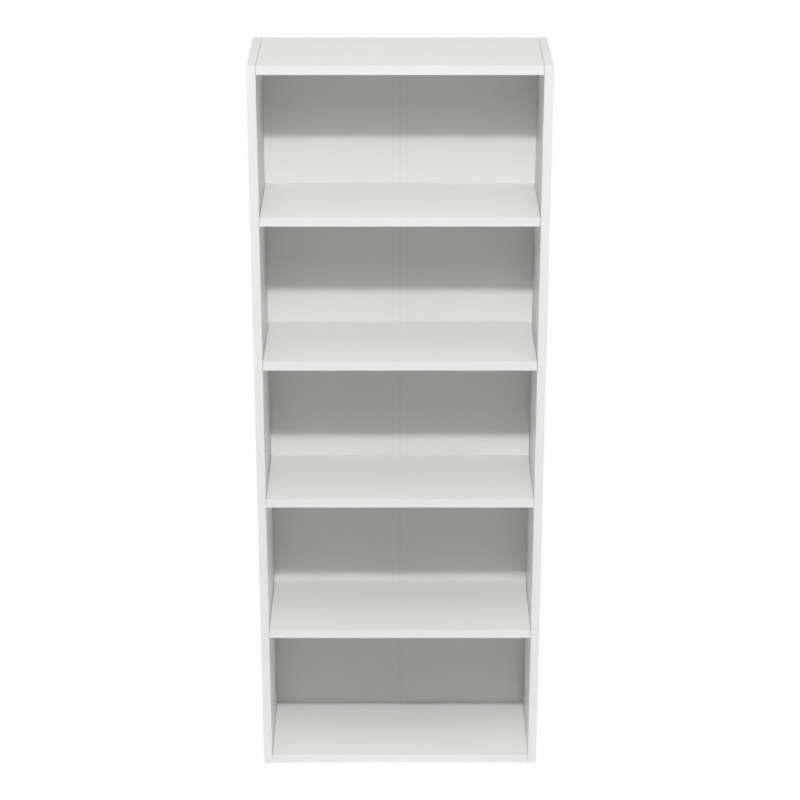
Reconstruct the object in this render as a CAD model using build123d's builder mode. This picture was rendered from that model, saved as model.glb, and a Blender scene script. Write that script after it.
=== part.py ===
"""Tall narrow bookcase with three adjustable shelves, in millimetres.

The origin is on the floor at the centre of the footprint. +Z is up, the open front faces -Y,
and +X is to the right as seen from the front. Boards are white-faced chipboard with glued-on
edge bands. The top, the bottom and one shelf are fixed with cam connectors and dowels, the
back is two nailed hardboard sheets, and the other shelves lie on pull-out pins.
"""

import os

from build123d import *

# ---- Driving dimensions -------------------------------------------------------------------
WIDTH = 610.0
DEPTH = 240.0
HEIGHT = 1600.0
BOARD = 18.0
COMPARTMENTS = 5
BOTTOM_LIFT = 1.5  # the bottom panel stays clear of an uneven floor

BAND = 1.0  # edge band thickness
BAND_ROUND = 0.5
BOARD_EASE = 0.3  # the slight break on a board's bare rear edges

BACK_SHEET = 3.0
BACK_INSET = 1.5  # from the sides' rear edges in to the back sheets
REBATE_WIDTH = 9.0
REBATE_PLAY = 0.5
BACK_END_MARGIN = 2.5  # the back sheets stop this far short of the outermost board faces
BACK_SEAM = 0.7
TAPE_WIDTH = 50.0
TAPE_THICKNESS = 0.2

JOINT_GAP = 0.6  # hairline left between a side and the end of each fixed board
SHELF_SIDE_PLAY = 0.8
SHELF_BACK_PLAY = 0.8

# Holes follow the 32 mm furniture grid.
GRID = 32.0
COLUMN_SETBACK = 37.0
COLUMN_SPACING = 5 * GRID
PIN_HOLES_PER_GROUP = 5

PIN_HOLE_RADIUS = 2.5
PIN_HOLE_DEPTH = 10.0
PIN_PLAY = 0.05
PEG_LENGTH = 9.0
PIN_SEAT_RISE = 2.5  # from the peg's axis up to the face the shelf lies on
PIN_HEAD_RADIUS = 4.5
PIN_HEAD_LENGTH = 2.0
PIN_TONGUE_RADIUS = 3.5
PIN_TONGUE_LENGTH = 8.0
PIN_ROUND = 0.6

CAM_RADIUS = 7.5
CAM_DEPTH = 13.5
CAM_PLAY = 0.1
CAM_SETBACK = 34.0  # from a board's end to the cam's centre
CAM_SLOT_WIDTH = 1.4
CAM_SLOT_LENGTH = 9.0
CAM_SLOT_DEPTH = 2.2
CAM_SOCKET_RADIUS = 1.8
CAM_SOCKET_DEPTH = 3.0
BOLT_BORE_RADIUS = 4.0
BOLT_THREAD_RADIUS = 2.5
BOLT_THREAD_LENGTH = 10.5
BOLT_THREAD_TURNS = 6
BOLT_THREAD_HEIGHT = 0.55
BOLT_COLLAR_RADIUS = 3.7
BOLT_COLLAR_LENGTH = 2.0
BOLT_SHANK_RADIUS = 3.0
BOLT_SHANK_END = 24.0
BOLT_NECK_RADIUS = 1.9
BOLT_NECK_END = 30.5
BOLT_HEAD_RADIUS = 2.9
BOLT_HEAD_END = 33.5
BOLT_CLEARANCE = 0.3
CAP_FLANGE_RADIUS = 9.0
CAP_FLANGE = 0.8
CAP_STUB_RADIUS = 1.7
CAP_STUB_LENGTH = 2.5

DOWEL_RADIUS = 4.0
DOWEL_LENGTH = 30.0
DOWEL_IN_SIDE = 10.5
DOWEL_PLAY = 0.05
DOWEL_CHAMFER = 0.8
DOWEL_FLUTES = 16
DOWEL_FLUTE_RADIUS = 0.3
BORE_END_GAP = 0.5  # a blind bore is this much deeper than what it holds

NAIL_LENGTH = 20.0
NAIL_TIP = 2.5
NAIL_RADIUS = 0.7
NAIL_HEAD_RADIUS = 1.7
NAIL_HEAD = 0.5
NAIL_PLAY = 0.05
NAILS_PER_SIDE = 9
NAIL_END_MARGIN = 60.0
NAIL_OFFSETS = (60.0, 215.0)  # across each fixed board, either side of the middle

# ---- Worked-out places --------------------------------------------------------------------
INNER_HALF = WIDTH / 2 - BOARD
FIXED_HALF = INNER_HALF - JOINT_GAP
FRONT = -DEPTH / 2
REAR = DEPTH / 2
BACK_REAR_FACE = REAR - BACK_INSET
BACK_FRONT_FACE = BACK_REAR_FACE - BACK_SHEET
BAND_BACK = FRONT + BAND  # where a front band meets its board
BACK_LOW = BOTTOM_LIFT + BACK_END_MARGIN
BACK_HIGH = HEIGHT - BACK_END_MARGIN

PITCH = (HEIGHT - BOTTOM_LIFT - BOARD) / COMPARTMENTS
BOARD_TOPS = [BOTTOM_LIFT + BOARD + PITCH * level for level in range(COMPARTMENTS + 1)]

FRONT_COLUMN = FRONT + COLUMN_SETBACK
REAR_COLUMN = FRONT_COLUMN + COLUMN_SPACING
COLUMNS = {"front": FRONT_COLUMN, "rear": REAR_COLUMN}
DOWEL_COLUMNS = (FRONT_COLUMN + GRID, REAR_COLUMN - GRID)

SIDES = {"left": -1, "right": 1}
FIXED_BOARDS = {
    "bottom_panel": BOARD_TOPS[0],
    "fixed_shelf": BOARD_TOPS[2],
    "top_panel": BOARD_TOPS[5],
}
ADJUSTABLE_SHELVES = {
    "lower_shelf": BOARD_TOPS[1],
    "middle_shelf": BOARD_TOPS[3],
    "upper_shelf": BOARD_TOPS[4],
}
CAPPED_BOARDS = ("fixed_shelf", "top_panel")

SIDE_NAIL_X = INNER_HALF + REBATE_WIDTH / 2
SIDE_NAIL_STEP = (HEIGHT - 2 * NAIL_END_MARGIN) / (NAILS_PER_SIDE - 1)


def mid_height(top):
    """Height of the middle of a board whose upper face is at the given height."""
    return top - BOARD / 2


def pin_height(shelf_top):
    """Height of the pins' axis under a shelf."""
    return shelf_top - BOARD - PIN_SEAT_RISE


def into_side(side):
    """Plane on a side panel's inner face: local x runs along Y, local y is up, z points inwards."""
    return Plane(
        origin=(side * INNER_HALF, 0, 0),
        x_dir=(0, -side, 0),
        z_dir=(-side, 0, 0),
    )


def on_side(side, y, z):
    """Local point on into_side(side) for the depth y and height z."""
    return (-side * y, z)


def towards_side(side, y, z):
    """Plane at a board's end, with its normal pointing into the side panel."""
    return Plane(origin=(side * INNER_HALF, y, z), x_dir=(0, side, 0), z_dir=(side, 0, 0))


def nail_points(side):
    """Places (x, z) of the back nails for one half of the back."""
    along_side = [
        (side * SIDE_NAIL_X, NAIL_END_MARGIN + SIDE_NAIL_STEP * step)
        for step in range(NAILS_PER_SIDE)
    ]
    across_boards = [
        (side * offset, mid_height(top))
        for top in FIXED_BOARDS.values()
        for offset in NAIL_OFFSETS
    ]
    return along_side + across_boards


def rear_plane(y):
    """Plane facing backwards at depth y: local x runs against X, local y is up."""
    return Plane(origin=(0, y, 0), x_dir=(-1, 0, 0), z_dir=(0, 1, 0))


def finish(part, name):
    """Label a finished piece and write it."""
    part.label = name
    export_step(part, f"parts/{name}.step")


# ---- Carcass boards -----------------------------------------------------------------------
def side_outline(side):
    """Cross-section corners of a side panel: a rectangle with the rebate for the back."""
    inner = side * INNER_HALF
    outer = side * WIDTH / 2
    rebate = side * (INNER_HALF + REBATE_WIDTH)
    return [
        (inner, BAND_BACK),
        (outer, BAND_BACK),
        (outer, REAR),
        (rebate, REAR),
        (rebate, BACK_FRONT_FACE),
        (inner, BACK_FRONT_FACE),
    ]


def make_side_panel(name, side):
    pin_points = [
        on_side(side, y, pin_height(top) + GRID * (hole - PIN_HOLES_PER_GROUP // 2))
        for top in ADJUSTABLE_SHELVES.values()
        for y in COLUMNS.values()
        for hole in range(PIN_HOLES_PER_GROUP)
    ]
    bolt_points = [
        on_side(side, y, mid_height(top))
        for top in FIXED_BOARDS.values()
        for y in COLUMNS.values()
    ]
    dowel_points = [
        on_side(side, y, mid_height(top))
        for top in FIXED_BOARDS.values()
        for y in DOWEL_COLUMNS
    ]
    side_nails = [(-x, z) for x, z in nail_points(side) if abs(x) > INNER_HALF]
    with BuildPart() as panel:
        with BuildSketch(Plane.XY):
            with BuildLine():
                Polyline(*side_outline(side), close=True)
            make_face()
        extrude(amount=HEIGHT - BAND)
        rear_edges = panel.edges().filter_by(Axis.Z).group_by(Axis.Y)[-1]
        chamfer(rear_edges, BOARD_EASE)
        with BuildSketch(into_side(side)):
            with Locations(*pin_points):
                Circle(PIN_HOLE_RADIUS)
        extrude(amount=-PIN_HOLE_DEPTH, mode=Mode.SUBTRACT)
        with BuildSketch(into_side(side)):
            with Locations(*bolt_points):
                Circle(BOLT_THREAD_RADIUS)
        extrude(amount=-(BOLT_THREAD_LENGTH + BORE_END_GAP), mode=Mode.SUBTRACT)
        with BuildSketch(into_side(side)):
            with Locations(*dowel_points):
                Circle(DOWEL_RADIUS)
        extrude(amount=-(DOWEL_IN_SIDE + BORE_END_GAP), mode=Mode.SUBTRACT)
        with BuildSketch(rear_plane(BACK_FRONT_FACE)):
            with Locations(*side_nails):
                Circle(NAIL_RADIUS + NAIL_PLAY)
        extrude(amount=-(NAIL_LENGTH - BACK_SHEET + BORE_END_GAP), mode=Mode.SUBTRACT)
    finish(panel.part, name)


def make_fixed_board(name, top):
    """A board between the sides, bored for cams, bolts, dowels and back nails."""
    underside = top - BOARD
    middle = mid_height(top)
    board_nails = [
        (-side * offset, middle) for side in SIDES.values() for offset in NAIL_OFFSETS
    ]
    with BuildPart() as board:
        with BuildSketch(Plane.XY.offset(underside)):
            with Locations((0, (BAND_BACK + BACK_FRONT_FACE) / 2)):
                Rectangle(2 * FIXED_HALF, BACK_FRONT_FACE - BAND_BACK)
        extrude(amount=BOARD)
        for side in SIDES.values():
            for y in COLUMNS.values():
                with Locations((side * (INNER_HALF - CAM_SETBACK), y, underside)):
                    Cylinder(
                        CAM_RADIUS,
                        CAM_DEPTH,
                        align=(Align.CENTER, Align.CENTER, Align.MIN),
                        mode=Mode.SUBTRACT,
                    )
                with Locations(towards_side(side, y, middle)):
                    Hole(BOLT_BORE_RADIUS, CAM_SETBACK)
            for y in DOWEL_COLUMNS:
                with Locations(towards_side(side, y, middle)):
                    Hole(DOWEL_RADIUS, DOWEL_LENGTH - DOWEL_IN_SIDE + BORE_END_GAP)
        with BuildSketch(rear_plane(BACK_FRONT_FACE)):
            with Locations(*board_nails):
                Circle(NAIL_RADIUS + NAIL_PLAY)
        extrude(amount=-(NAIL_LENGTH - BACK_SHEET + BORE_END_GAP), mode=Mode.SUBTRACT)
    finish(board.part, name)


# ---- Adjustable shelves -------------------------------------------------------------------
SHELF_HALF = INNER_HALF - SHELF_SIDE_PLAY
SHELF_REAR = BACK_FRONT_FACE - SHELF_BACK_PLAY


def make_adjustable_board(name, top):
    with BuildPart() as board:
        with BuildSketch(Plane.XY.offset(top - BOARD)):
            with Locations((0, (BAND_BACK + SHELF_REAR) / 2)):
                Rectangle(2 * SHELF_HALF, SHELF_REAR - BAND_BACK)
        extrude(amount=BOARD)
        bare_edges = board.edges().filter_by(Axis.X).group_by(Axis.Y)[-1]
        chamfer(bare_edges, BOARD_EASE)
    finish(board.part, name)


# ---- Edge bands ---------------------------------------------------------------------------
def make_board_band(name, half_width, top):
    """Front band of a horizontal board, with its long outer edges rounded."""
    with BuildPart() as band:
        with BuildSketch(Plane.XZ.offset(-BAND_BACK)):
            with Locations((0, mid_height(top))):
                Rectangle(2 * half_width, BOARD)
        extrude(amount=BAND)
        outer_edges = band.edges().filter_by(Axis.X).group_by(Axis.Y)[0]
        fillet(outer_edges, BAND_ROUND)
    finish(band.part, name)


def make_side_front_band(name, side):
    with BuildPart() as band:
        with BuildSketch(Plane.XZ.offset(-BAND_BACK)):
            with Locations((side * (WIDTH - BOARD) / 2, HEIGHT / 2)):
                Rectangle(BOARD, HEIGHT)
        extrude(amount=BAND)
        front_edges = band.edges().group_by(Axis.Y)[0].filter_by(Axis.Y, reverse=True)
        fillet(front_edges, BAND_ROUND)
    finish(band.part, name)


def make_side_top_band(name, side):
    """Band on a side panel's top end, cut to the panel's own cross-section."""
    with BuildPart() as band:
        with BuildSketch(Plane.XY.offset(HEIGHT - BAND)):
            with BuildLine():
                Polyline(*side_outline(side), close=True)
            make_face()
        extrude(amount=BAND)
        upper_edges = band.edges().group_by(Axis.Z)[-1]
        long_edges = upper_edges.filter_by(Axis.Y).sort_by(SortBy.LENGTH)[-2:]
        fillet(long_edges, BAND_ROUND)
    finish(band.part, name)


# ---- Back ---------------------------------------------------------------------------------
def make_back_sheet(name, side):
    inner = BACK_SEAM / 2
    outer = INNER_HALF + REBATE_WIDTH - REBATE_PLAY
    with BuildPart() as sheet:
        with BuildSketch(rear_plane(BACK_REAR_FACE)):
            with Locations((-side * (inner + outer) / 2, (BACK_LOW + BACK_HIGH) / 2)):
                Rectangle(outer - inner, BACK_HIGH - BACK_LOW)
            with Locations(*[(-x, z) for x, z in nail_points(side)]):
                Circle(NAIL_RADIUS + NAIL_PLAY, mode=Mode.SUBTRACT)
        extrude(amount=-BACK_SHEET)
    finish(sheet.part, name)


def make_back_tape():
    """Tape across the seam, which lets the two back sheets fold flat for packing."""
    with BuildPart() as tape:
        with BuildSketch(rear_plane(BACK_REAR_FACE)):
            with Locations((0, (BACK_LOW + BACK_HIGH) / 2)):
                Rectangle(TAPE_WIDTH, BACK_HIGH - BACK_LOW)
        extrude(amount=TAPE_THICKNESS)
    finish(tape.part, "back_seam_tape")


def make_back_nails():
    nail_places = [
        Plane(origin=(x, BACK_REAR_FACE, z), x_dir=(-1, 0, 0), z_dir=(0, 1, 0))
        for side in SIDES.values()
        for x, z in nail_points(side)
    ]
    shank = NAIL_LENGTH - NAIL_TIP
    with BuildPart() as nails:
        with Locations(*nail_places):
            Cylinder(
                NAIL_HEAD_RADIUS,
                NAIL_HEAD,
                align=(Align.CENTER, Align.CENTER, Align.MIN),
            )
            Cylinder(
                NAIL_RADIUS,
                shank,
                align=(Align.CENTER, Align.CENTER, Align.MAX),
            )
        with Locations(*[place.offset(-shank) for place in nail_places]):
            Cone(
                NAIL_RADIUS / 4,
                NAIL_RADIUS,
                NAIL_TIP,
                align=(Align.CENTER, Align.CENTER, Align.MAX),
            )
    finish(nails.part, "back_nails")


# ---- Cam connectors and dowels ------------------------------------------------------------
def make_cam_locks(name, top):
    """Cam drums in the underside of one board, each hollow where the bolt's head lies."""
    underside = top - BOARD
    cam_height = CAM_DEPTH - BORE_END_GAP
    with BuildPart() as cams:
        for side in SIDES.values():
            centre_x = side * (INNER_HALF - CAM_SETBACK)
            for y in COLUMNS.values():
                with Locations((centre_x, y, underside)):
                    Cylinder(
                        CAM_RADIUS - CAM_PLAY,
                        cam_height,
                        align=(Align.CENTER, Align.CENTER, Align.MIN),
                    )
                    Cylinder(
                        CAM_SOCKET_RADIUS,
                        CAM_SOCKET_DEPTH,
                        align=(Align.CENTER, Align.CENTER, Align.MIN),
                        mode=Mode.SUBTRACT,
                    )
                    for angle in (45, 135):
                        Box(
                            CAM_SLOT_LENGTH,
                            CAM_SLOT_WIDTH,
                            CAM_SLOT_DEPTH,
                            rotation=(0, 0, angle),
                            align=(Align.CENTER, Align.CENTER, Align.MIN),
                            mode=Mode.SUBTRACT,
                        )
                with Locations(towards_side(side, y, mid_height(top))):
                    Hole(BOLT_NECK_RADIUS + BOLT_CLEARANCE, BOLT_HEAD_END)
                end = towards_side(side, y, mid_height(top)).offset(-BOLT_NECK_END + BOLT_CLEARANCE)
                with Locations(end):
                    Hole(
                        BOLT_HEAD_RADIUS + BOLT_CLEARANCE,
                        BOLT_HEAD_END - BOLT_NECK_END + 2 * BOLT_CLEARANCE,
                    )
    finish(cams.part, name)


def thread_outline():
    """Crests and roots of the bolt's wood thread, drawn as rings, from the tip to the collar."""
    crest = BOLT_THREAD_RADIUS - PIN_PLAY
    root = crest - BOLT_THREAD_HEIGHT
    pitch = BOLT_THREAD_LENGTH / BOLT_THREAD_TURNS
    points = []
    for turn in range(BOLT_THREAD_TURNS):
        start = -BOLT_THREAD_LENGTH + pitch * turn
        points += [(start, root), (start + pitch / 2, crest)]
    return points + [(0, root)]


def bolt_profile():
    """Half outline (distance along the bolt from the side's face, radius), thread to head."""
    return [
        (-BOLT_THREAD_LENGTH, 0),
        *thread_outline(),
        (0, BOLT_COLLAR_RADIUS),
        (BOLT_COLLAR_LENGTH, BOLT_COLLAR_RADIUS),
        (BOLT_COLLAR_LENGTH, BOLT_SHANK_RADIUS),
        (BOLT_SHANK_END, BOLT_SHANK_RADIUS),
        (BOLT_SHANK_END, BOLT_NECK_RADIUS),
        (BOLT_NECK_END, BOLT_NECK_RADIUS),
        (BOLT_NECK_END, BOLT_HEAD_RADIUS),
        (BOLT_HEAD_END, BOLT_HEAD_RADIUS),
        (BOLT_HEAD_END, 0),
    ]


def make_cam_bolts(name, top):
    height = mid_height(top)
    with BuildPart() as bolts:
        for side in SIDES.values():
            for y in COLUMNS.values():
                outline = [
                    (side * (INNER_HALF - along), height + radius)
                    for along, radius in bolt_profile()
                ]
                with BuildSketch(Plane.XZ.offset(-y)):
                    with BuildLine():
                        Polyline(*outline, close=True)
                    make_face()
                revolve(axis=Axis((0, y, height), (1, 0, 0)))
    finish(bolts.part, name)


def make_dowels(name, top):
    """Chamfered dowels with flutes along them that let the glue spread."""
    height = mid_height(top)
    radius = DOWEL_RADIUS - DOWEL_PLAY
    ends = [
        towards_side(side, y, height).offset(DOWEL_IN_SIDE)
        for side in SIDES.values()
        for y in DOWEL_COLUMNS
    ]
    with BuildPart() as dowels:
        with Locations(*ends):
            Cylinder(radius, DOWEL_LENGTH, align=(Align.CENTER, Align.CENTER, Align.MAX))
        chamfer(dowels.edges().filter_by(GeomType.CIRCLE), DOWEL_CHAMFER)
        for end in ends:
            with BuildSketch(end):
                with PolarLocations(radius, DOWEL_FLUTES):
                    Circle(DOWEL_FLUTE_RADIUS)
            extrude(amount=-DOWEL_LENGTH, mode=Mode.SUBTRACT)
    finish(dowels.part, name)


def make_cam_caps(name, top):
    """Push-in plastic caps that cover the cams under a board."""
    underside = top - BOARD
    with BuildPart() as caps:
        for side in SIDES.values():
            for y in COLUMNS.values():
                with Locations((side * (INNER_HALF - CAM_SETBACK), y, underside)):
                    Cylinder(
                        CAP_FLANGE_RADIUS,
                        CAP_FLANGE,
                        align=(Align.CENTER, Align.CENTER, Align.MAX),
                    )
                    Cylinder(
                        CAP_STUB_RADIUS,
                        CAP_STUB_LENGTH,
                        align=(Align.CENTER, Align.CENTER, Align.MIN),
                    )
        chamfer(caps.faces().sort_by(Axis.Z)[:4].edges(), CAP_FLANGE / 2)
    finish(caps.part, name)


# ---- Shelf pins ---------------------------------------------------------------------------
def make_shelf_pin(name, side, y, height):
    """Peg in the side panel, a stop against its face, and a flat-topped tongue for the shelf."""
    inner_face = Plane(
        origin=(side * INNER_HALF, y, height),
        x_dir=(0, side, 0),
        z_dir=(-side, 0, 0),
    )
    with BuildPart() as pin:
        with Locations(inner_face):
            Cylinder(
                PIN_HOLE_RADIUS - PIN_PLAY,
                PEG_LENGTH,
                align=(Align.CENTER, Align.CENTER, Align.MAX),
            )
            Cylinder(
                PIN_HEAD_RADIUS,
                PIN_HEAD_LENGTH,
                align=(Align.CENTER, Align.CENTER, Align.MIN),
            )
            Cylinder(
                PIN_TONGUE_RADIUS,
                PIN_HEAD_LENGTH + PIN_TONGUE_LENGTH,
                align=(Align.CENTER, Align.CENTER, Align.MIN),
            )
        split(bisect_by=Plane.XY.offset(height + PIN_SEAT_RISE), keep=Keep.BOTTOM)
        peg_end = pin.faces().sort_by(Axis.X)[-1 if side > 0 else 0]
        tongue_end = pin.faces().sort_by(Axis.X)[0 if side > 0 else -1]
        chamfer(peg_end.edges(), PIN_ROUND)
        chamfer(tongue_end.edges().filter_by(GeomType.CIRCLE), PIN_ROUND)
    finish(pin.part, name)


# ---- Make every piece ---------------------------------------------------------------------
os.makedirs("parts", exist_ok=True)

for side_name, side_sign in SIDES.items():
    make_side_panel(f"{side_name}_side_panel", side_sign)
    make_side_front_band(f"{side_name}_side_front_band", side_sign)
    make_side_top_band(f"{side_name}_side_top_band", side_sign)
    make_back_sheet(f"{side_name}_back_sheet", side_sign)

for board_name, board_top in FIXED_BOARDS.items():
    make_fixed_board(board_name, board_top)
    make_board_band(f"{board_name}_front_band", FIXED_HALF, board_top)
    make_cam_locks(f"{board_name}_cam_locks", board_top)
    make_cam_bolts(f"{board_name}_cam_bolts", board_top)
    make_dowels(f"{board_name}_dowels", board_top)

for board_name in CAPPED_BOARDS:
    make_cam_caps(f"{board_name}_cam_caps", FIXED_BOARDS[board_name])

for shelf_name, shelf_top in ADJUSTABLE_SHELVES.items():
    make_adjustable_board(f"{shelf_name}_board", shelf_top)
    make_board_band(f"{shelf_name}_front_band", SHELF_HALF, shelf_top)
    for column_name, column_y in COLUMNS.items():
        for side_name, side_sign in SIDES.items():
            make_shelf_pin(
                f"{shelf_name}_{column_name}_{side_name}_pin",
                side_sign,
                column_y,
                pin_height(shelf_top),
            )

make_back_tape()
make_back_nails()
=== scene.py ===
"""White bookcase with adjustable shelves: materials, stage, light and camera around its CAD frame.

Everything is in metres in the CAD frame: +Z up, the open front faces -Y, origin on the floor.
"""

import bpy
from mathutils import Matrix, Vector


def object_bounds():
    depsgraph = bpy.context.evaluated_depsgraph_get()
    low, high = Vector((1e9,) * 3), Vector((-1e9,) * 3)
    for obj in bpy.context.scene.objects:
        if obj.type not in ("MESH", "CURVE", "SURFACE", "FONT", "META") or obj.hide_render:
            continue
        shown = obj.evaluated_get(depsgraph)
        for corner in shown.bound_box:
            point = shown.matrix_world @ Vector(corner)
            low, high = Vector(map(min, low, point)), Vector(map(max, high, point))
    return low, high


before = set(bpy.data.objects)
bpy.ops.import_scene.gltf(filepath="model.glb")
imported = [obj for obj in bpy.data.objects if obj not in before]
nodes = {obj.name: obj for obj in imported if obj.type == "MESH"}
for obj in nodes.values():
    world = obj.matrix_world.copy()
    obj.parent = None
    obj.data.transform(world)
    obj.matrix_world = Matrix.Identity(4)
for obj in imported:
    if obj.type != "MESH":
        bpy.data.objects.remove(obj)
cad_low, cad_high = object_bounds()
scene = bpy.context.scene
MM = 0.001

# ---- Node helpers ------------------------------------------------------------------------


def add_node(tree, kind, inputs=None, **settings):
    """Add a node; an input's value may be a number, a colour or another node's socket."""
    node = tree.nodes.new(kind)
    for key, value in settings.items():
        setattr(node, key, value)
    for key, value in (inputs or {}).items():
        if isinstance(value, bpy.types.NodeSocket):
            tree.links.new(value, node.inputs[key])
        else:
            node.inputs[key].default_value = value
    return node


def calculate(tree, operation, first, second=0.0, clamp=False):
    node = add_node(
        tree, "ShaderNodeMath", {0: first, 1: second}, operation=operation, use_clamp=clamp
    )
    return node.outputs[0]


def mix_colours(tree, share, first, second):
    node = add_node(tree, "ShaderNodeMix", {"Factor": share}, data_type="RGBA")
    for socket, value in ((node.inputs[6], first), (node.inputs[7], second)):
        if isinstance(value, bpy.types.NodeSocket):
            tree.links.new(value, socket)
        else:
            socket.default_value = value
    return node.outputs[2]


def mix_values(tree, share, first, second):
    node = add_node(tree, "ShaderNodeMix", {"Factor": share, "A": first, "B": second})
    return node.outputs[0]


def spread(tree, socket, low, high):
    """A 0 to 1 value spread over low to high."""
    node = add_node(tree, "ShaderNodeMapRange", {"Value": socket, "To Min": low, "To Max": high})
    return node.outputs[0]


def object_place(tree, stretch=(1, 1, 1)):
    """Coordinates fixed to the piece, in metres, divided by a stretch along each axis."""
    place = add_node(tree, "ShaderNodeTexCoord").outputs["Object"]
    scale = tuple(1 / s for s in stretch)
    return add_node(tree, "ShaderNodeMapping", {"Vector": place, "Scale": scale}).outputs[0]


def noise(tree, place, size, detail=2.0, roughness=0.5):
    """Soft noise whose features are about size metres across."""
    node = add_node(
        tree,
        "ShaderNodeTexNoise",
        {"Vector": place, "Scale": 1 / size, "Detail": detail, "Roughness": roughness},
    )
    return node.outputs["Fac"]


def rgb(red, green, blue):
    return (red, green, blue, 1.0)


def new_material(name):
    material = bpy.data.materials.new(name)
    material.use_nodes = True
    return material, material.node_tree, material.node_tree.nodes["Principled BSDF"]


def add_bump(tree, shader, height, depth, strength=1.0):
    """Relief where height 0 to 1 stands for depth metres."""
    bump = add_node(
        tree, "ShaderNodeBump", {"Height": height, "Distance": depth, "Strength": strength}
    )
    tree.links.new(bump.outputs[0], shader.inputs["Normal"])


def across_thickness(tree, axis):
    """0 on one broad face of the piece and 1 on the other, along the given axis."""
    place = add_node(tree, "ShaderNodeTexCoord").outputs["Generated"]
    return add_node(tree, "ShaderNodeSeparateXYZ", {0: place}).outputs[axis]


def inside(tree, share, margin):
    """1 between the two broad faces, 0 on either of them."""
    above = calculate(tree, "GREATER_THAN", share, margin)
    below = calculate(tree, "LESS_THAN", share, 1 - margin)
    return calculate(tree, "MULTIPLY", above, below)


# ---- Materials ---------------------------------------------------------------------------
MELAMINE_WHITE = rgb(0.745, 0.744, 0.738)
MELAMINE_SHADE = rgb(0.72, 0.718, 0.71)
# Painted light: the same edge band is given a much lighter tone where it faces the front than where it faces
# up (top_band keeps the board's tone), so the front bands carry painted light and the top bands painted
# shade.
PAINTED_BRIGHT_BAND_WHITE = rgb(0.905, 0.905, 0.904)
PAINTED_BRIGHT_BAND_SHADE = rgb(0.885, 0.885, 0.883)
PAINT_WHITE = rgb(0.90, 0.898, 0.89)
PAINT_SHADE = rgb(0.875, 0.873, 0.863)
FACE_MARGIN = 0.004  # share of a board's thickness that counts as its facing


def melamine(tree):
    """White decor paper under clear resin: faint clouding and specks, a fine pressed grain."""
    place = object_place(tree)
    clouds = noise(tree, place, 60 * MM, detail=3)
    specks = noise(tree, place, 1.2 * MM, detail=2, roughness=0.7)
    tone = calculate(tree, "MULTIPLY", clouds, specks)
    colour = mix_colours(tree, tone, MELAMINE_WHITE, MELAMINE_SHADE)
    pores = noise(tree, object_place(tree, (1, 1, 2.5)), 0.5 * MM, detail=3, roughness=0.6)
    gloss = spread(tree, noise(tree, place, 8 * MM, detail=4), 0.34, 0.44)
    return colour, gloss, pores


def chipboard(tree):
    """Pressed chips: coarse flakes and fine dust in several browns."""
    place = object_place(tree, (2.2, 2.2, 1))
    coarse = add_node(tree, "ShaderNodeTexVoronoi", {"Vector": place, "Scale": 1 / (2.2 * MM)})
    fine = add_node(tree, "ShaderNodeTexVoronoi", {"Vector": place, "Scale": 1 / (0.7 * MM)})
    tones = add_node(tree, "ShaderNodeValToRGB", {"Fac": coarse.outputs["Color"]})
    ramp = tones.color_ramp
    ramp.elements[0].color = rgb(0.16, 0.095, 0.05)
    ramp.elements[1].color = rgb(0.62, 0.45, 0.27)
    ramp.elements.new(0.35).color = rgb(0.34, 0.22, 0.12)
    ramp.elements.new(0.7).color = rgb(0.50, 0.34, 0.19)
    dust = mix_colours(tree, fine.outputs["Distance"], rgb(0.55, 0.40, 0.24), rgb(0.28, 0.18, 0.1))
    colour = mix_colours(tree, 0.45, tones.outputs[0], dust)
    pits = calculate(tree, "ADD", coarse.outputs["Distance"], fine.outputs["Distance"])
    return colour, pits


def board_material(name, axis):
    """White facing on the two broad faces across axis, raw chipboard on cut edges and in bores."""
    material, tree, shader = new_material(name)
    white, gloss, pores = melamine(tree)
    chips, pits = chipboard(tree)
    cut = inside(tree, across_thickness(tree, axis), FACE_MARGIN)
    tree.links.new(mix_colours(tree, cut, white, chips), shader.inputs["Base Color"])
    tree.links.new(mix_values(tree, cut, gloss, 0.85), shader.inputs["Roughness"])
    relief = mix_values(tree, cut, calculate(tree, "MULTIPLY", pores, 0.03), pits)
    add_bump(tree, shader, relief, 0.4 * MM)
    return material


def band_material(name, axis, white, shade, glue_at_high_end):
    """White plastic band with a fine grain, and its glue line beside the board; the two tones given carry
    painted light, lighter on the front bands than on the top bands.
    """
    material, tree, shader = new_material(name)
    place = object_place(tree)
    tone = noise(tree, place, 25 * MM, detail=3)
    plastic = mix_colours(tree, tone, white, shade)
    depth = across_thickness(tree, axis)
    operation, limit = ("GREATER_THAN", 0.9) if glue_at_high_end else ("LESS_THAN", 0.1)
    glue = calculate(tree, operation, depth, limit)
    tree.links.new(mix_colours(tree, glue, plastic, rgb(0.5, 0.45, 0.36)), shader.inputs["Base Color"])
    grain = noise(tree, place, 0.35 * MM, detail=2)
    tree.links.new(spread(tree, grain, 0.36, 0.46), shader.inputs["Roughness"])
    add_bump(tree, shader, grain, 0.012 * MM)
    return material


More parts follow.
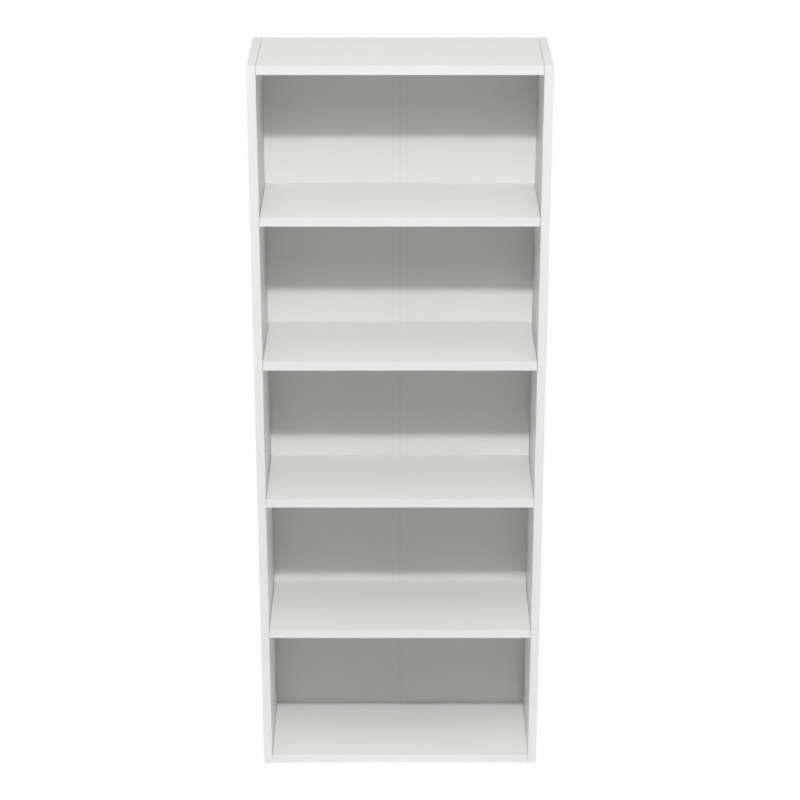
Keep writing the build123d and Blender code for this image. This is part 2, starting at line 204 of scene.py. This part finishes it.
def hardboard_material(name):
    """Painted smooth face to the front, brown screen-pressed fibres behind."""
    material, tree, shader = new_material(name)
    place = object_place(tree)
    clouds = noise(tree, place, 90 * MM, detail=3)
    paint = mix_colours(tree, clouds, PAINT_WHITE, PAINT_SHADE)
    fibres = noise(tree, object_place(tree, (3, 1, 1)), 1.5 * MM, detail=6, roughness=0.7)
    brown = mix_colours(tree, fibres, rgb(0.24, 0.14, 0.075), rgb(0.50, 0.33, 0.19))
    across = add_node(
        tree,
        "ShaderNodeTexWave",
        {"Vector": place, "Scale": 1 / (1.6 * MM), "Distortion": 0.6},
        bands_direction="X",
    )
    upward = add_node(
        tree,
        "ShaderNodeTexWave",
        {"Vector": place, "Scale": 1 / (1.6 * MM), "Distortion": 0.6},
        bands_direction="Z",
    )
    screen = calculate(tree, "MULTIPLY", across.outputs["Fac"], upward.outputs["Fac"])
    pressed = mix_colours(tree, calculate(tree, "MULTIPLY", screen, 0.5), brown, rgb(0.17, 0.10, 0.055))
    depth = across_thickness(tree, 1)
    raw = calculate(tree, "GREATER_THAN", depth, 0.03)
    tree.links.new(mix_colours(tree, raw, paint, pressed), shader.inputs["Base Color"])
    tree.links.new(mix_values(tree, raw, 0.5, 0.8), shader.inputs["Roughness"])
    peel = calculate(tree, "MULTIPLY", noise(tree, place, 1.1 * MM, detail=2), 0.06)
    add_bump(tree, shader, mix_values(tree, raw, peel, screen), 0.2 * MM)
    return material


def tape_material():
    """Creped paper tape."""
    material, tree, shader = new_material("seam_tape")
    place = object_place(tree, (1, 1, 4))
    fibres = noise(tree, place, 0.8 * MM, detail=5, roughness=0.7)
    colour = mix_colours(tree, fibres, rgb(0.62, 0.56, 0.45), rgb(0.78, 0.73, 0.62))
    tree.links.new(colour, shader.inputs["Base Color"])
    shader.inputs["Roughness"].default_value = 0.7
    add_bump(tree, shader, fibres, 0.08 * MM)
    return material


def metal_material(name, dark, light, roughness, grain_size, grain_depth):
    """Plated or cast metal with a slightly uneven surface."""
    material, tree, shader = new_material(name)
    place = object_place(tree)
    grain = noise(tree, place, grain_size, detail=4, roughness=0.6)
    tree.links.new(mix_colours(tree, grain, dark, light), shader.inputs["Base Color"])
    tree.links.new(spread(tree, grain, roughness - 0.08, roughness + 0.1), shader.inputs["Roughness"])
    shader.inputs["Metallic"].default_value = 1.0
    add_bump(tree, shader, grain, grain_depth)
    return material


def beech_material():
    """Beech turned along X: long pores and pale rings."""
    material, tree, shader = new_material("beech_dowel")
    rings = noise(tree, object_place(tree, (12, 1, 1)), 1.5 * MM, detail=4)
    pores = noise(tree, object_place(tree, (20, 1, 1)), 0.3 * MM, detail=3, roughness=0.7)
    tone = calculate(tree, "MULTIPLY", rings, pores)
    colour = mix_colours(tree, tone, rgb(0.66, 0.47, 0.29), rgb(0.45, 0.29, 0.16))
    tree.links.new(colour, shader.inputs["Base Color"])
    shader.inputs["Roughness"].default_value = 0.65
    add_bump(tree, shader, pores, 0.06 * MM)
    return material


def cap_material():
    """Moulded white plastic with a fine spark-eroded texture."""
    material, tree, shader = new_material("white_cap")
    texture = noise(tree, object_place(tree), 0.3 * MM, detail=3)
    colour = mix_colours(tree, texture, rgb(0.82, 0.82, 0.81), rgb(0.78, 0.78, 0.77))
    tree.links.new(colour, shader.inputs["Base Color"])
    shader.inputs["Roughness"].default_value = 0.4
    add_bump(tree, shader, texture, 0.02 * MM)
    return material


def dress(material, *names):
    """Give each named CAD node the material."""
    for name in names:
        nodes[name].data.materials.clear()
        nodes[name].data.materials.append(material)


X, Y, Z = 0, 1, 2
SHELVES = ("upper_shelf", "middle_shelf", "lower_shelf")
FIXED_BOARDS = ("top_panel", "fixed_shelf", "bottom_panel")

dress(board_material("upright_board", X), "left_side_panel", "right_side_panel")
dress(board_material("level_board", Z), *FIXED_BOARDS, *[f"{shelf}_board" for shelf in SHELVES])
# Front bands get the painted-bright band tones, top bands the darker board tones: painted light and painted
# shade on one and the same band.
dress(
    band_material("front_band", Y, PAINTED_BRIGHT_BAND_WHITE, PAINTED_BRIGHT_BAND_SHADE, glue_at_high_end=True),
    *[f"{piece}_front_band" for piece in ("left_side", "right_side", *FIXED_BOARDS, *SHELVES)],
)
dress(
    band_material("top_band", Z, MELAMINE_WHITE, MELAMINE_SHADE, glue_at_high_end=False),
    "left_side_top_band",
    "right_side_top_band",
)
dress(hardboard_material("hardboard"), "left_back_sheet", "right_back_sheet")
dress(tape_material(), "back_seam_tape")
zinc = metal_material("zinc_cam", rgb(0.42, 0.43, 0.45), rgb(0.62, 0.63, 0.66), 0.45, 0.6 * MM, 0.05 * MM)
steel = metal_material("plated_steel", rgb(0.5, 0.5, 0.5), rgb(0.72, 0.72, 0.72), 0.35, 0.4 * MM, 0.02 * MM)
nickel = metal_material("nickel_pin", rgb(0.62, 0.6, 0.57), rgb(0.76, 0.74, 0.71), 0.28, 0.5 * MM, 0.01 * MM)
dress(zinc, *[f"{board}_cam_locks" for board in FIXED_BOARDS])
dress(steel, "back_nails", *[f"{board}_cam_bolts" for board in FIXED_BOARDS])
dress(beech_material(), *[f"{board}_dowels" for board in FIXED_BOARDS])
dress(cap_material(), "top_panel_cam_caps", "fixed_shelf_cam_caps")
dress(nickel, *[name for name in nodes if name.endswith("_pin")])

# ---- Stage -------------------------------------------------------------------------------
FLOOR_HALF = 30.0
STAGE_WHITE = 0.991
CEILING_LIGHT = 0.29  # the dome's brightness straight up
FLOOR_BOUNCE = 0.85  # straight down
REAR_LIGHT = 0.5  # at the horizon, behind the bookcase's middle
DOME_TINT = rgb(1.0, 0.993, 0.98)


def add_floor():
    """Evenly glowing white floor with no shadows on it.

    Only the camera sees it. The light that it would send back up comes from the dome's lower
    half and the floor_glow lamp.
    """
    mesh = bpy.data.meshes.new("floor")
    corners = [(x * FLOOR_HALF, y * FLOOR_HALF, 0) for x, y in ((-1, -1), (1, -1), (1, 1), (-1, 1))]
    mesh.from_pydata(corners, [], [(0, 1, 2, 3)])
    floor = bpy.data.objects.new("floor", mesh)
    scene.collection.objects.link(floor)
    floor.visible_diffuse = False
    floor.visible_glossy = False
    floor.visible_shadow = False
    material, tree, shader = new_material("floor")
    shader.inputs["Base Color"].default_value = rgb(0, 0, 0)
    shader.inputs["Specular IOR Level"].default_value = 0.0
    shader.inputs["Emission Color"].default_value = rgb(1, 1, 1)
    shader.inputs["Emission Strength"].default_value = STAGE_WHITE
    mesh.materials.append(material)


def add_dome():
    """White surroundings that send light from above, from below and from the horizon behind."""
    world = bpy.data.worlds.new("dome")
    world.use_nodes = True
    tree = world.node_tree
    direction = add_node(tree, "ShaderNodeTexCoord").outputs["Generated"]
    axes = add_node(tree, "ShaderNodeSeparateXYZ", {0: direction})
    height = axes.outputs["Z"]
    behind = calculate(tree, "GREATER_THAN", axes.outputs["Y"])
    flatness = calculate(tree, "SUBTRACT", 1.0, calculate(tree, "ABSOLUTE", height))
    light = calculate(tree, "MULTIPLY", calculate(tree, "MULTIPLY", behind, flatness), REAR_LIGHT)
    for strength in (CEILING_LIGHT, -FLOOR_BOUNCE):
        upward = calculate(tree, "MULTIPLY", height, strength)
        light = calculate(tree, "ADD", light, calculate(tree, "MAXIMUM", upward))
    seen = add_node(tree, "ShaderNodeLightPath").outputs["Is Camera Ray"]
    background = tree.nodes["Background"]
    tree.links.new(mix_values(tree, seen, light, STAGE_WHITE), background.inputs["Strength"])
    tree.links.new(mix_colours(tree, seen, DOME_TINT, rgb(1, 1, 1)), background.inputs["Color"])
    scene.world = world


# ---- Light -------------------------------------------------------------------------------
EVEN_DISTANCE = 4.08  # where an evenly reaching lamp is as bright as an ordinary one
SIDE_OFFSET = 2.4  # from the middle to each low lamp that grazes the front edges


def in_front(distance, height, across=0.0):
    """The point that far in front of the bookcase's front plane."""
    return Vector((across, cad_low.y - distance, height))


LAMPS = (
    # name, place, point aimed at, diameter, watts, whether it reaches evenly
    ("key", in_front(2.70, 3.83), Vector((0, 0, 0.8)), 0.18, 80.0, True),
    ("high", in_front(2.48, 5.0), in_front(0, 0), 2.0, 17.0, True),
    ("middle", in_front(1.82, 2.76), in_front(0, 0.8), 0.5, 4.5, False),
    ("ceiling", in_front(1.08, 4.0), in_front(1.08, 0), 3.0, 44.0, False),
    # This one stands for the lit floor just in front of the bookcase.
    ("floor_glow", in_front(0.6, -0.6), in_front(0, 0.3), 0.15, 1.5, False),
    ("left_fill", in_front(0.63, 0.3, -SIDE_OFFSET), Vector((0, -0.1, 0.3)), 0.5, 16.0, False),
    ("right_fill", in_front(0.63, 0.3, SIDE_OFFSET), Vector((0, -0.1, 0.3)), 0.5, 16.0, False),
)


def add_lamp(name, place, aim, size, power, even):
    """Round area lamp; an even one is as bright far away as near, as a large distant lamp is."""
    lamp = bpy.data.lights.new(name, "AREA")
    lamp.shape = "DISK"
    lamp.size = size
    lamp.energy = power
    if even:
        lamp.use_nodes = True
        tree = lamp.node_tree
        falloff = add_node(tree, "ShaderNodeLightFalloff", {"Strength": 1 / EVEN_DISTANCE**2})
        tree.links.new(falloff.outputs["Constant"], tree.nodes["Emission"].inputs["Strength"])
    holder = bpy.data.objects.new(name, lamp)
    scene.collection.objects.link(holder)
    holder.location = place
    holder.rotation_euler = (aim - place).to_track_quat("-Z", "Y").to_euler()


# ---- Camera ------------------------------------------------------------------------------
CAMERA_DISTANCE = 4.511  # from the bookcase's front plane
CAMERA_HEIGHT = 2.765
AIM_HEIGHT = 0.8834  # where the line of sight meets the front plane
VIEW_SPAN = 1.680  # width and height of the picture at that point


def add_camera():
    """Ordinary camera looking down at the bookcase from straight in front."""
    eye = Vector((0, cad_low.y - CAMERA_DISTANCE, CAMERA_HEIGHT))
    sight = Vector((0, cad_low.y, AIM_HEIGHT)) - eye
    lens = bpy.data.cameras.new("camera")
    lens.lens = lens.sensor_width * sight.length / VIEW_SPAN
    camera = bpy.data.objects.new("camera", lens)
    scene.collection.objects.link(camera)
    camera.location = eye
    camera.rotation_euler = sight.to_track_quat("-Z", "Y").to_euler()
    scene.camera = camera


add_camera()
add_floor()
add_dome()
for lamp_settings in LAMPS:
    add_lamp(*lamp_settings)
scene.view_settings.view_transform = "Standard"
